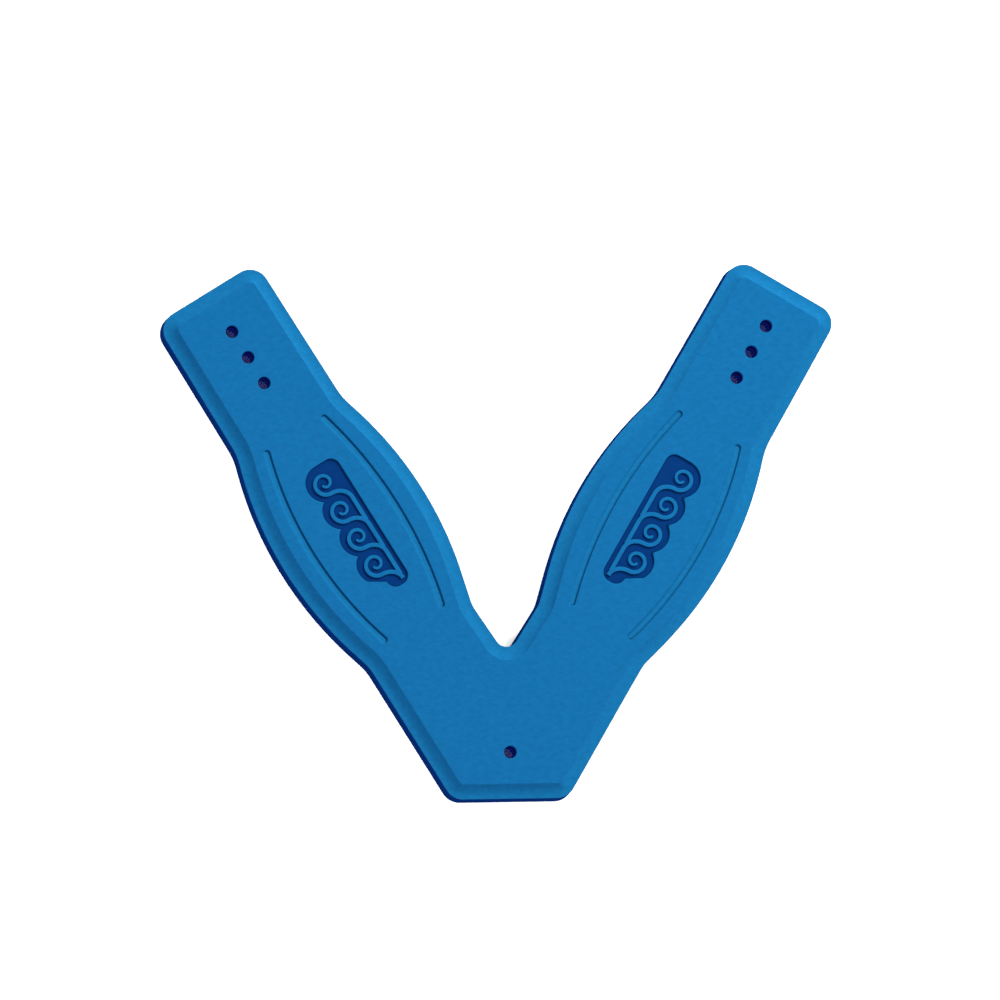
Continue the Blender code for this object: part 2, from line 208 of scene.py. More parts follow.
# Textures: features a metre along X, Y and Z
FINE_GRAIN = (1900.0, 1900.0, 1900.0)
BRUSHED_GRAIN = (330.0, 1500.0, 900.0)
CLOUDS = (300.0, 420.0, 360.0)
FOAM_CELLS = 3800.0
WEAVE = 260.0
WORN_THREADS = (900.0, 900.0, 900.0)
MOULD_GRAIN = (1400.0, 1400.0, 1400.0)
MOULD_CLOUDS = (60.0, 60.0, 60.0)
NOISE_SPAN = (0.3, 0.7)  # most values of a noise lie between these
# How far each noise lightens and darkens a foam, as a share of its colour
SKIN_GRAIN = 0.060
CUT_GRAIN = 0.065
EMBLEM_GRAIN = 0.05

# Camera: long lens, almost straight above, leaning towards -X and -Y
LENS = 400.0
SENSOR = 36.0
CAMERA_TARGET = Vector((-0.00065, 0.01683, 0.0085))
CAMERA_DISTANCE = 5.5267
CAMERA_TILT = math.radians(9.0)
CAMERA_AZIMUTH = math.radians(222.0)
CAMERA_ROLL = math.radians(-1.43)
CAMERA_CLIP_END = 20.0

# Light
KEY_AZIMUTH = math.radians(50.0)
KEY_ELEVATION = math.radians(46.0)
KEY_ENERGY = 79.0
KEY_COLOUR = (1.03, 1.0, 0.84)  # slightly warm
SKY_COLOUR = (0.87, 0.89, 1.0)  # slightly blue, like the shadows on the foam
SKY_STRENGTH = 0.955
LAMP_DISTANCE = 2.2
LAMP_SIZE = 1.24
SWEEP_ELEVATION = math.radians(50.0)  # of the lamp that lights the floor alone
SWEEP_ENERGY = 55.0
FLOOR_SIZE = 6.0


# Plan outlines


def on_arm(side, along, across):
    """The plan position of a place on an arm."""
    x = along * math.sin(ARM_ANGLE) + across * math.cos(ARM_ANGLE)
    y = along * math.cos(ARM_ANGLE) - across * math.sin(ARM_ANGLE)
    return Vector((side * x, CROSSING_Y + y))


def arm_direction(side):
    return Vector((side * math.sin(ARM_ANGLE), math.cos(ARM_ANGLE), 0.0))


def rounded_corner(before, corner, after, radius):
    """Points along the arc that rounds a corner, each with its outward direction."""
    arrive = (corner - before).normalized()
    leave = (after - corner).normalized()
    bend = abs(arrive.angle_signed(leave))
    centre_side = 1 if arrive.cross(leave) > 0 else -1
    start = corner - arrive * radius * math.tan(bend / 2)
    normal = Vector((-arrive.y, arrive.x)) * centre_side
    centre = start + normal * radius
    steps = max(math.ceil(bend / ARC_STEP), math.ceil(radius * bend / EDGE_STEP), 3)
    places = []
    for step in range(steps + 1):
        spoke = (-normal).copy()
        spoke.rotate(Matrix.Rotation(centre_side * bend * step / steps, 2))
        places.append((centre + spoke * radius, spoke * centre_side))
    return places


def strap_edge():
    """The edge of the whole V, counter-clockwise: points, each with its outward direction."""
    first_bend = OUTER_BENDS[0]
    tip_along = (first_bend[1] * math.sin(ARM_ANGLE) - TIP_EDGE) / math.cos(ARM_ANGLE)
    corners = [(on_arm(1, tip_along, first_bend[1]), TIP_CORNER_RADIUS)]
    corners += [(on_arm(1, along, out), radius) for along, out, radius in OUTER_BENDS]
    corners += [(on_arm(1, TAB_END, TAB_HALF_WIDTH), TAB_CORNER_RADIUS)]
    corners += [(on_arm(1, TAB_END, -TAB_HALF_WIDTH), TAB_CORNER_RADIUS)]
    corners += [(on_arm(1, along, -out), radius) for along, out, radius in reversed(INNER_BENDS)]
    mirrored = [(Vector((-point.x, point.y)), radius) for point, radius in reversed(corners)]
    corners += [(Vector((0.0, CROSSING_Y + NOTCH)), NOTCH_RADIUS)] + mirrored
    arcs = []
    for index, (corner, radius) in enumerate(corners):
        before = corners[index - 1][0]
        after = corners[(index + 1) % len(corners)][0]
        arcs.append(rounded_corner(before, corner, after, radius))
    edge = []
    for arc, next_arc in zip(arcs, arcs[1:] + arcs[:1]):
        edge += arc
        start, outward = arc[-1]
        run = next_arc[0][0] - start
        steps = math.ceil(run.length / EDGE_STEP)
        edge += [(start + run * step / steps, outward) for step in range(1, steps)]
    return edge


EDGE = strap_edge()


def edge_ring(inset, height):
    ring = []
    for point, outward in EDGE:
        place = point - outward * inset
        ring.append((place.x, place.y, height))
    return ring


def disc_ring(centre, radius, height):
    ring = []
    for step in range(HOLE_SIDES):
        turn = 2 * math.pi * step / HOLE_SIDES
        x = centre.x + radius * math.cos(turn)
        y = centre.y + radius * math.sin(turn)
        ring.append((x, y, height))
    return ring


def groove_ring(side, apex, radius, inner, outer):
    """A slot round an arc that bows out to apex, with round ends.

    Inner and outer each give the half width and the height on that side of the slot.
    """
    reach = math.asin(GROOVE_HALF_LENGTH / abs(radius))
    bow = 1 if radius > 0 else -1
    ring = []

    def add(angle, distance, height):
        along = GROOVE_MIDDLE + distance * math.sin(angle)
        place = on_arm(side, along, apex - radius + bow * distance * math.cos(angle))
        ring.append((place.x, place.y, height))

    for end in (1, -1):
        near, far = (outer, inner) if end == bow else (inner, outer)
        for step in range(GROOVE_STEPS + 1):
            angle = end * reach * (2 * step / GROOVE_STEPS - 1)
            add(angle, abs(radius) + end * near[0], near[1])
        for step in range(1, ROUND_END_STEPS):
            turn = math.pi * step / ROUND_END_STEPS
            share = (1 - math.cos(turn)) / 2
            half_width = near[0] + (far[0] - near[0]) * share
            height = near[1] + (far[1] - near[1]) * share
            out = end * half_width * math.cos(turn)
            beyond = end * half_width * math.sin(turn) / abs(radius)
            add(end * reach + beyond, abs(radius) + out, height)
    return ring


def curl_middles():
    """How far along the emblem each curl's middle lies, with room for the first wave's back."""
    shift = (BACK_LENGTH + CURL_RADIUS) / 4
    return [CURL_PITCH * (number - (CURLS - 1) / 2) + shift for number in range(CURLS)]


def pocket_ring(side, inset, height):
    """The emblem's edge: a lobe round each curl, and a straight edge with round corners below."""
    lobe = CURL_RADIUS + STROKE_WIDTH / 2 + POCKET_MARGIN
    meet = math.acos(CURL_PITCH / 2 / (lobe - inset))
    middles = curl_middles()
    low_edge = BASE_LINE - STROKE_WIDTH / 2 - POCKET_MARGIN
    left_middle = middles[0] - CURL_RADIUS - BACK_LENGTH - POCKET_MARGIN + POCKET_CORNER
    right_middle = middles[-1] + lobe - POCKET_CORNER
    low_middle = low_edge + POCKET_CORNER
    arcs = []
    for number in reversed(range(CURLS)):
        start = 0.0 if number == CURLS - 1 else meet
        end = LAST_LOBE_END if number == 0 else math.pi - meet
        arcs.append((middles[number], CURL_LIFT, lobe, start, end))
    shoulder = low_middle + SHOULDER_RISE
    arcs.append((left_middle, shoulder, POCKET_CORNER, math.pi / 2, math.pi))
    arcs.append((left_middle, low_middle, POCKET_CORNER, math.pi, 1.5 * math.pi))
    arcs.append((right_middle, low_middle, POCKET_CORNER, -math.pi / 2, 0.0))
    ring = []
    for along, across, radius, start, end in arcs:
        for step in range(LOBE_STEPS + 1):
            angle = start + (end - start) * step / LOBE_STEPS
            reach = radius - inset
            out = across + reach * math.sin(angle)
            place = on_arm(side, EMBLEM_MIDDLE + along + reach * math.cos(angle), out)
            if ring and (Vector(ring[-1]).to_2d() - place).length < LEAST_STEP:
                place += Vector((LEAST_STEP, 0.0))
            ring.append((place.x, place.y, height))
    return ring


def wave_stroke(middle, run_in):
    """The outline of one wave: a run in along the base line, a rising back and a curl."""
    spine = [Vector((middle - CURL_RADIUS - BACK_LENGTH - run_in, BASE_LINE))]
    rise = CURL_LIFT - BASE_LINE
    for step in range(BACK_STEPS):
        angle = math.pi / 2 * step / BACK_STEPS
        along = middle - CURL_RADIUS - BACK_LENGTH * (1 - math.sin(angle))
        spine.append(Vector((along, BASE_LINE + rise * (1 - math.cos(angle)))))
    for step in range(CURL_STEPS + 1):
        share = step / CURL_STEPS
        angle = math.pi - 2 * math.pi * CURL_TURNS * share
        reach = CURL_RADIUS + (EYE_RADIUS - CURL_RADIUS) * share
        along = middle + reach * math.cos(angle)
        spine.append(Vector((along, CURL_LIFT + reach * math.sin(angle))))
    upper_edge = []
    lower_edge = []
    for index, point in enumerate(spine):
        heading = (spine[min(index + 1, len(spine) - 1)] - spine[max(index - 1, 0)]).normalized()
        share = max(index - BACK_STEPS, 0) / CURL_STEPS
        half_width = (STROKE_WIDTH + (EYE_STROKE_WIDTH - STROKE_WIDTH) * share) / 2
        aside = Vector((-heading.y, heading.x)) * half_width
        upper_edge.append(point + aside)
        lower_edge.append(point - aside)
    eye_end = spine[-1]
    cap = []
    start = upper_edge[-1] - eye_end
    for step in range(1, EYE_CAP_STEPS):
        turned = start.copy()
        turned.rotate(Matrix.Rotation(-math.pi * step / EYE_CAP_STEPS, 2))
        cap.append(eye_end + turned)
    return upper_edge + cap + lower_edge[::-1]


# Mesh building


def corners_of(mesh_edit, ring):
    return [mesh_edit.verts.new(place) for place in ring]


def bridge(mesh_edit, loops, material_slot=0):
    """Walls between loops of the same number of corners."""
    for lower, upper in zip(loops, loops[1:]):
        for index in range(len(lower)):
            pair = (lower[index - 1], lower[index], upper[index], upper[index - 1])
            mesh_edit.faces.new(pair).material_index = material_slot


def spare_points(loops):
    """A grid of points over the strap, clear of the loops."""
    corners = [corner.co.to_2d().to_3d() for loop in loops for corner in loop]
    tree = KDTree(len(corners))
    for index, corner in enumerate(corners):
        tree.insert(corner, index)
    tree.balance()
    low = Vector((min(c.x for c in corners), min(c.y for c in corners)))
    high = Vector((max(c.x for c in corners), max(c.y for c in corners)))
    points = []
    for row in range(math.ceil((high.y - low.y) / FILL_STEP)):
        shift = FILL_STEP / 2 * (row % 2)
        for column in range(math.ceil((high.x - low.x) / FILL_STEP)):
            place = low + Vector((FILL_STEP * column + shift, FILL_STEP * row))
            if tree.find(place.to_3d())[2] > FILL_STEP / 2:
                points.append(place)
    return points


def inside(place, outline):
    """Whether a place in plan lies inside a closed outline."""
    found = False
    before = outline[-1]
    for point in outline:
        if (point.y > place.y) != (before.y > place.y):
            share = (place.y - point.y) / (before.y - point.y)
            if place.x < point.x + share * (before.x - point.x):
                found = not found
        before = point
    return found


def fill(mesh_edit, outer, holes, bends=True):
    """A flat face inside the outer loop, without the holes, as small triangles."""
    loops = [outer, *holes]
    corners = [corner for loop in loops for corner in loop]
    flat = [corner.co.to_2d() for corner in corners]
    height = outer[0].co.z
    links = []
    first = 0
    for loop in loops:
        count = len(loop)
        links += [(first + index, first + (index + 1) % count) for index in range(count)]
        first += count
    if bends:
        flat += spare_points(loops)
    found = delaunay_2d_cdt(flat, links, [], TRIANGLES_INSIDE, SAME_CORNER)
    points, _, faces, origins, _, _ = found
    walls = [[corner.co.to_2d() for corner in loop] for loop in holes]
    made = {}
    for face in faces:
        middle = sum((points[index] for index in face), Vector((0.0, 0.0))) / len(face)
        if any(inside(middle, wall) for wall in walls):
            continue
        for index in face:
            if index in made:
                continue
            known = [origin for origin in origins[index] if origin < len(corners)]
            if known:
                made[index] = corners[known[0]]
            else:
                made[index] = mesh_edit.verts.new((points[index].x, points[index].y, height))
        mesh_edit.faces.new([made[index] for index in face])


def finish_mesh(name, mesh_edit, materials):
    """Makes the object of a closed bmesh, smooth but for its sharp edges."""
    bmesh.ops.recalc_face_normals(mesh_edit, faces=mesh_edit.faces)
    for face in mesh_edit.faces:
        face.smooth = True
    mesh = bpy.data.meshes.new(name)
    mesh_edit.to_mesh(mesh)
    mesh_edit.free()
    for material in materials:
        mesh.materials.append(material)
    piece = bpy.data.objects.new(name, mesh)
    bpy.context.scene.collection.objects.link(piece)
    return piece


def cap_cuts(mesh_edit):
    """Closes each cut with a flat face and keeps its edge sharp."""
    cut = [edge for edge in mesh_edit.edges if edge.is_boundary]
    for edge in cut:
        edge.smooth = False
    caps = bmesh.ops.holes_fill(mesh_edit, edges=cut, sides=0)["faces"]
    mesh_edit.normal_update()
    bmesh.ops.triangulate(mesh_edit, faces=caps)


def keep_span(mesh_edit, side, start, end):
    """Keeps one arm's stretch between two places along it."""
    for along, direction in ((start, -1), (end, 1)):
        if along is None:
            continue
        everything = mesh_edit.verts[:] + mesh_edit.edges[:] + mesh_edit.faces[:]
        bmesh.ops.bisect_plane(
            mesh_edit,
            geom=everything,
            plane_co=on_arm(side, along, 0.0).to_3d(),
            plane_no=arm_direction(side) * direction,
            clear_outer=True,
        )
    other = [face for face in mesh_edit.faces if face.calc_center_median().x * side < 0]
    bmesh.ops.delete(mesh_edit, geom=other, context="FACES")


def keep_tip(mesh_edit):
    """Keeps the tip of the V, cut across both arms."""
    for side in SIDES.values():
        faces = [
            face for face in mesh_edit.faces if all(corner.co.x * side > 0 for corner in face.verts)
        ]
        edges = list(dict.fromkeys(edge for face in faces for edge in face.edges))
        corners = list(dict.fromkeys(corner for face in faces for corner in face.verts))
        bmesh.ops.bisect_plane(
            mesh_edit,
            geom=corners + edges + faces,
            plane_co=on_arm(side, TIP_JOIN, 0.0).to_3d(),
            plane_no=arm_direction(side),
            clear_outer=True,
        )


def divide(layer, mesh_edit, materials, node_suffix):
    """Divides a layer of the whole V into five skins, each on its body or across one joint."""
    skins = []
    tip_edit = mesh_edit.copy()
    keep_tip(tip_edit)
    cap_cuts(tip_edit)
    tip = finish_mesh("tip_" + layer, tip_edit, materials)
    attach(tip, "tip")
    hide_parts("tip_" + node_suffix)
    skins.append(tip)
    for name, side in SIDES.items():
        spans = (
            ("_neck_", TIP_JOIN, PAD_JOIN, "tip", name + "_pad", LOWER_FLEX),
            ("_arm_", PAD_JOIN, None, name + "_pad", name + "_tab", UPPER_FLEX),
        )
        for part, start, end, before, after, flex in spans:
            arm_edit = mesh_edit.copy()
            keep_span(arm_edit, side, start, end)
            cap_cuts(arm_edit)
            skin = finish_mesh(name + part + layer, arm_edit, materials)
            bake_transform(skin)
            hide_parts(after + "_" + node_suffix)
            skins.append(skin)
    mesh_edit.free()
    return skins


def quarter_round(inset, height, radius, up, steps=ROUND_STEPS):
    """Insets and heights that round the corner between an upright wall and a flat face.

    The wall stands at the inset and the face lies at the height, on top of the wall if up is 1
    and under it if up is -1.
    """
    rings = []
    for step in range(steps + 1):
        angle = math.pi / 2 * step / steps
        across = inset + radius * (1 - math.cos(angle))
        rings.append((across, height - up * radius * (1 - math.sin(angle))))
    return rings


def screw_places():
    places = [Vector((0.0, CROSSING_Y + TIP_HOLE))]
    for side in SIDES.values():
        places += [on_arm(side, along, 0.0) for along in TAB_HOLES]
    return places


def upper_edge():
    """Insets and heights from the seam up over the rim and the cove to the plateau."""
    rise = STRAP_TOP - RIM_TOP
    width = COVE_WIDTH - RIM_ROUND
    slope = 2 * math.atan(rise / width) - COVE_START
    cove_radius = width / (math.sin(slope) - math.sin(COVE_START))
    cut_back = PLATEAU_ROUND * math.tan(slope / 2)
    profile = quarter_round(0.0, LAYER_SEAM, SEAM_ROUND, -1)[::-1]
    profile += quarter_round(0.0, RIM_TOP, RIM_ROUND, 1)
    last = slope - cut_back / cove_radius
    for step in range(1, COVE_STEPS + 1):
        angle = COVE_START + (last - COVE_START) * step / COVE_STEPS
        across = RIM_ROUND + cove_radius * (math.sin(angle) - math.sin(COVE_START))
        profile.append((across, RIM_TOP + cove_radius * (math.cos(COVE_START) - math.cos(angle))))
    for step in range(1, PLATEAU_STEPS + 1):
        lean = slope * (1 - step / PLATEAU_STEPS)
        across = COVE_WIDTH + cut_back - PLATEAU_ROUND * math.sin(lean)
        profile.append((across, STRAP_TOP - PLATEAU_ROUND * (1 - math.cos(lean))))
    profile.append((profile[-1][0] + SUPPORT, STRAP_TOP))
    return profile


def groove_well(mesh_edit, side, steep_side, apex, radius):
    """The walls of a groove, from its edge on the plateau to its floor. Returns that edge."""
    loops = []
    for walls in zip(STEEP_WALL, SLOPED_WALL):
        edges = [(GROOVE_HALF_WIDTH + out, STRAP_TOP + height) for out, height in walls]
        if steep_side > 0:
            edges.reverse()
        loops.append(corners_of(mesh_edit, groove_ring(side, apex, radius, *edges)))
    bridge(mesh_edit, loops[:GROOVE_LIP_RINGS])
    bridge(mesh_edit, loops[GROOVE_LIP_RINGS - 1 :], CUT_SLOT)
    return loops[0]


def pocket_well(mesh_edit, side):
    """The walls and the floor of an emblem's pocket. Returns its edge on the plateau."""
    loops = []
    for inset, height in POCKET_EDGE:
        loops.append(corners_of(mesh_edit, pocket_ring(side, inset, STRAP_TOP + height)))
    bridge(mesh_edit, loops)
    fill(mesh_edit, loops[-1], [], bends=False)
    return loops[0]


def upper_foam():
    """The blue foam: rim, cove, plateau, grooves, emblem pockets and screw holes."""
    mesh_edit = bmesh.new()
    rings = []
    for inset, height in upper_edge():
        rings.append(corners_of(mesh_edit, edge_ring(inset, height)))
    skin_rings = PLATEAU_STEPS + 1
    bridge(mesh_edit, rings[:-skin_rings], CUT_SLOT)
    bridge(mesh_edit, rings[-skin_rings - 1 :])
    wells = []
    for name, side in SIDES.items():
        for apex, radius in GROOVES:
            wells.append(groove_well(mesh_edit, side, STEEP_SIDES[name], apex, radius))
        wells.append(pocket_well(mesh_edit, side))
    passages = []
    hole = [(HOLE_LIP + SUPPORT, STRAP_TOP)]
    hole += quarter_round(0.0, STRAP_TOP, HOLE_LIP, 1, HOLE_LIP_STEPS)[::-1]
    hole += [(0.0, STRAP_TOP - 2 * HOLE_LIP), (0.0, LAYER_SEAM)]
    for place in screw_places():
        loops = []
        for out, height in hole:
            loops.append(corners_of(mesh_edit, disc_ring(place, HOLE_RADIUS + out, height)))
        bridge(mesh_edit, loops[:-1])
        # below its lip, the blue foam's hole wall takes the painted navy shade and glow, not its
        # own blue
        bridge(mesh_edit, loops[-2:], HOLE_SLOT)
        wells.append(loops[0])
        passages.append(loops[-1])
    fill(mesh_edit, rings[-1], wells)
    fill(mesh_edit, rings[0], passages)
    bmesh.ops.remove_doubles(mesh_edit, verts=mesh_edit.verts, dist=SAME_POINT)
    return mesh_edit


def lower_foam():
    """The navy foam, with the recess that holds the webbing."""
    profile = quarter_round(-FLARE, 0.0, UNDERSIDE_ROUND, -1)[::-1]
    profile += [(-FLARE, 2 * UNDERSIDE_ROUND), (0.0, LAYER_SEAM - 2 * UNDERSIDE_ROUND)]
    profile += quarter_round(0.0, LAYER_SEAM, SEAM_ROUND, 1)
    mesh_edit = bmesh.new()
    rings = [corners_of(mesh_edit, edge_ring(inset, height)) for inset, height in profile]
    bridge(mesh_edit, rings)
    inset = CORE_INSET - INNER_GAP
    recess_floor = CORE_BOTTOM - INNER_GAP
    heights = (LAYER_SEAM, recess_floor)
    recess = [corners_of(mesh_edit, edge_ring(inset, height)) for height in heights]
    bridge(mesh_edit, recess)
    upper_ends = []
    lower_ends = []
    hole = [(0.0, recess_floor), (0.0, 2 * HOLE_LIP)] + quarter_round(0.0, 0.0, HOLE_LIP, -1)
    for place in screw_places():
        loops = []
        for out, height in hole:
            loops.append(corners_of(mesh_edit, disc_ring(place, HOLE_RADIUS + out, height)))
        # the hole walls take the painted shade and glow
        bridge(mesh_edit, loops, HOLE_SLOT)
        upper_ends.append(loops[0])
        lower_ends.append(loops[-1])
    fill(mesh_edit, rings[-1], [recess[0]])
    fill(mesh_edit, recess[1], upper_ends)
    fill(mesh_edit, rings[0], lower_ends)
    return mesh_edit


def webbing_core():
    """The flat webbing between the foams, with its long edges rounded."""
    top = CORE_BOTTOM + CORE_THICKNESS
    half = CORE_THICKNESS / 2
    profile = []
    for step in range(CORE_ROUND_STEPS + 1):
        angle = math.pi * (step / CORE_ROUND_STEPS - 0.5)
        across = CORE_INSET + half * (1 - math.cos(angle))
        profile.append((across, CORE_BOTTOM + half * (1 + math.sin(angle))))
    mesh_edit = bmesh.new()
    rings = [corners_of(mesh_edit, edge_ring(inset, height)) for inset, height in profile]
    bridge(mesh_edit, rings)
    ends = {CORE_BOTTOM: [], top: []}
    for place in screw_places():
        loops = []
        for height in ends:
            loops.append(corners_of(mesh_edit, disc_ring(place, CLEARANCE_HOLE_RADIUS, height)))
            ends[height].append(loops[-1])
        bridge(mesh_edit, loops)
    fill(mesh_edit, rings[0], ends[CORE_BOTTOM])
    fill(mesh_edit, rings[-1], ends[top])
    return mesh_edit


def emblem_base(name, side, material):
    """The navy pad on the pocket's floor, with a small round along its upper edge."""
    profile = [(BASE_GAP, STRAP_TOP - POCKET_DEPTH)]
    profile += [(BASE_GAP + inset, BASE_TOP + height) for inset, height in BASE_EDGE]
    mesh_edit = bmesh.new()
    rings = [corners_of(mesh_edit, pocket_ring(side, inset, height)) for inset, height in profile]
    bridge(mesh_edit, rings)
    fill(mesh_edit, rings[0], [], bends=False)
    fill(mesh_edit, rings[-1], [], bends=False)
    return finish_mesh(name, mesh_edit, [material])


def prism(name, outline, bottom, top):
    mesh_edit = bmesh.new()
    low = corners_of(mesh_edit, [(place.x, place.y, bottom) for place in outline])
    high = corners_of(mesh_edit, [(place.x, place.y, top) for place in outline])
    bridge(mesh_edit, [low, high])
    mesh_edit.faces.new(low)
    mesh_edit.faces.new(high)
    return finish_mesh(name, mesh_edit, [])


def emblem_crests(name, side, material):
    """The raised waves, joined into one stroke and rounded along the top."""
    solids = []
    for number, middle in enumerate(curl_middles()):
        run_in = 0.0 if number == 0 else CURL_PITCH - BACK_LENGTH / 3
        wave = wave_stroke(middle, run_in)
        outline = [on_arm(side, EMBLEM_MIDDLE + place.x, place.y) for place in wave]
        solids.append(prism(name + "_" + str(number), outline, BASE_TOP, CREST_TOP))
    first = solids[0]
    for other in solids[1:]:
        union = first.modifiers.new(other.name, "BOOLEAN")
        union.operation = "UNION"
        union.solver = "EXACT"
        union.object = other
    bevel = first.modifiers.new("round", "BEVEL")
    bevel.width = CREST_BEVEL
    bevel.segments = CREST_BEVEL_STEPS
    bevel.limit_method = "ANGLE"
    bevel.angle_limit = SHARP_ANGLE
    bpy.context.view_layer.update()
    evaluated = first.evaluated_get(bpy.context.evaluated_depsgraph_get())
    mesh_edit = bmesh.new()
    mesh_edit.from_mesh(bpy.data.meshes.new_from_object(evaluated))
    for solid in solids:
        bpy.data.objects.remove(solid)
    bmesh.ops.triangulate(mesh_edit, faces=mesh_edit.faces)
    return finish_mesh(name, mesh_edit, [material])


# Materials


class Nodes:
    """A material's node tree, with short calls to add and join nodes."""

    def __init__(self, name):
        self.material = bpy.data.materials.new(name)
        self.material.use_nodes = True
        self.tree = self.material.node_tree
        self.shader = self.tree.nodes["Principled BSDF"]
        place = self.add("ShaderNodeTexCoord")
        self.place = place.outputs["Object"]

    def add(self, kind, **values):
        node = self.tree.nodes.new(kind)
        for name, value in values.items():
            setattr(node, name, value)
        return node

    def join(self, start, end):
        self.tree.links.new(start, end)

    def noise(self, scales, detail, roughness=0.5):
        """Noise with so many features a metre along X, Y and Z."""
        stretch = self.add("ShaderNodeMapping")
        stretch.inputs["Scale"].default_value = scales
        self.join(self.place, stretch.inputs["Vector"])
        node = self.add("ShaderNodeTexNoise")
        self.join(stretch.outputs["Vector"], node.inputs["Vector"])
        node.inputs["Scale"].default_value = 1.0
        node.inputs["Detail"].default_value = detail
        node.inputs["Roughness"].default_value = roughness
        return node.outputs["Fac"]

    def span(self, value, low, high, low_out, high_out):
        """The value, with low to high stretched or squeezed to low_out to high_out."""
        node = self.add("ShaderNodeMapRange")
        self.join(value, node.inputs["Value"])
        for name, number in zip(
            ("From Min", "From Max", "To Min", "To Max"), (low, high, low_out, high_out)
        ):
            node.inputs[name].default_value = number
        return node.outputs["Result"]

    def spread(self, noise, low_out, high_out):
        """Noise brought to between about low_out and high_out."""
        return self.span(noise, *NOISE_SPAN, low_out, high_out)

    def shade(self, colour, amounts):
        """The colour times each of the amounts, which are outputs near 1."""
        factor = amounts[0]
        for amount in amounts[1:]:
            times = self.add("ShaderNodeMath", operation="MULTIPLY")
            self.join(factor, times.inputs[0])
            self.join(amount, times.inputs[1])
            factor = times.outputs["Value"]
        scale = self.add("ShaderNodeVectorMath", operation="SCALE")
        scale.inputs[0].default_value = colour
        self.join(factor, scale.inputs["Scale"])
        self.join(scale.outputs["Vector"], self.shader.inputs["Base Color"])

    def bump(self, height, strength, distance):
        """Relief as deep as the distance, in metres, where the height is 1."""
        node = self.add("ShaderNodeBump")
        node.inputs["Strength"].default_value = strength
        node.inputs["Distance"].default_value = distance
        self.join(height, node.inputs["Height"])
        self.join(node.outputs["Normal"], self.shader.inputs["Normal"])


def foam_material(name, colour, grain, specular=0.05, painted_glow=None):
    """Closed-cell foam: matte, with a fine brushed grain, faint mottling and any painted glow."""
    nodes = Nodes(name)
    fine = nodes.noise(FINE_GRAIN, detail=3.0, roughness=0.6)
    brushed = nodes.noise(BRUSHED_GRAIN, detail=2.0, roughness=0.6)
    clouds = nodes.noise(CLOUDS, detail=3.0)
    cells = nodes.add("ShaderNodeTexVoronoi")
    cells.inputs["Scale"].default_value = FOAM_CELLS
    nodes.join(nodes.place, cells.inputs["Vector"])
    noises = (fine, brushed, clouds)
    nodes.shade(colour, [nodes.spread(noise, 1 - grain, 1 + grain) for noise in noises])
    rough = nodes.spread(fine, 0.72, 0.86)
    nodes.join(rough, nodes.shader.inputs["Roughness"])
    mix = nodes.add("ShaderNodeMath", operation="ADD")
    nodes.join(fine, mix.inputs[0])
    nodes.join(nodes.span(cells.outputs["Distance"], 0.0, 1.0, 0.0, 0.5), mix.inputs[1])
    nodes.bump(mix.outputs["Value"], strength=0.35, distance=0.00006)
    nodes.shader.inputs["Specular IOR Level"].default_value = specular
    nodes.shader.inputs["Specular Tint"].default_value = (*SHEEN_TINT, 1.0)
    # painted glow: the foam gives off light of this colour
    if painted_glow:
        nodes.shader.inputs["Emission Color"].default_value = (*painted_glow, 1.0)
        nodes.shader.inputs["Emission Strength"].default_value = 1.0
    return nodes.material


def webbing_material(name, colour):
    """Flat nylon webbing: two crossed sets of threads."""
    nodes = Nodes(name)
    heights = []
    for direction in ("DIAGONAL", "Y"):
        wave = nodes.add("ShaderNodeTexWave", bands_direction=direction)
        wave.inputs["Scale"].default_value = WEAVE
        wave.inputs["Distortion"].default_value = 0.6
        nodes.join(nodes.place, wave.inputs["Vector"])
        heights.append(wave.outputs["Fac"])
    weave = nodes.add("ShaderNodeMath", operation="MAXIMUM")
    nodes.join(heights[0], weave.inputs[0])
    nodes.join(heights[1], weave.inputs[1])
    value = weave.outputs["Value"]
    nodes.shade(colour, (nodes.span(value, 0.0, 1.0, 0.7, 1.5),))
    rough = nodes.spread(nodes.noise(WORN_THREADS, detail=2.0), 0.6, 0.8)
    nodes.join(rough, nodes.shader.inputs["Roughness"])
    nodes.bump(value, strength=0.6, distance=0.0002)
    return nodes.material


def plastic_material(name, colour):
    """Moulded plastic with a spark-eroded grain."""
    nodes = Nodes(name)
    grain = nodes.noise(MOULD_GRAIN, detail=4.0, roughness=0.6)
    clouds = nodes.noise(MOULD_CLOUDS, detail=2.0)
    nodes.shade(colour, (nodes.spread(clouds, 0.92, 1.08),))
    nodes.join(nodes.spread(grain, 0.42, 0.55), nodes.shader.inputs["Roughness"])
    nodes.bump(grain, strength=0.3, distance=0.00005)
    return nodes.material


# Stage, light and camera


def make_stage():
    """A plain pale floor."""
    mesh_edit = bmesh.new()
    bmesh.ops.create_grid(mesh_edit, x_segments=2, y_segments=2, size=FLOOR_SIZE / 2)
    mesh = bpy.data.meshes.new("floor")
    mesh_edit.to_mesh(mesh)
    mesh_edit.free()
    material = bpy.data.materials.new("pale_floor")
    material.use_nodes = True
    shader = material.node_tree.nodes["Principled BSDF"]
    shader.inputs["Base Color"].default_value = (*FLOOR_PALE, 1.0)
    shader.inputs["Roughness"].default_value = 0.9
    shader.inputs["Specular IOR Level"].default_value = 0.1
    mesh.materials.append(material)
    floor = bpy.data.objects.new("floor", mesh)
    bpy.context.scene.collection.objects.link(floor)
    return floor


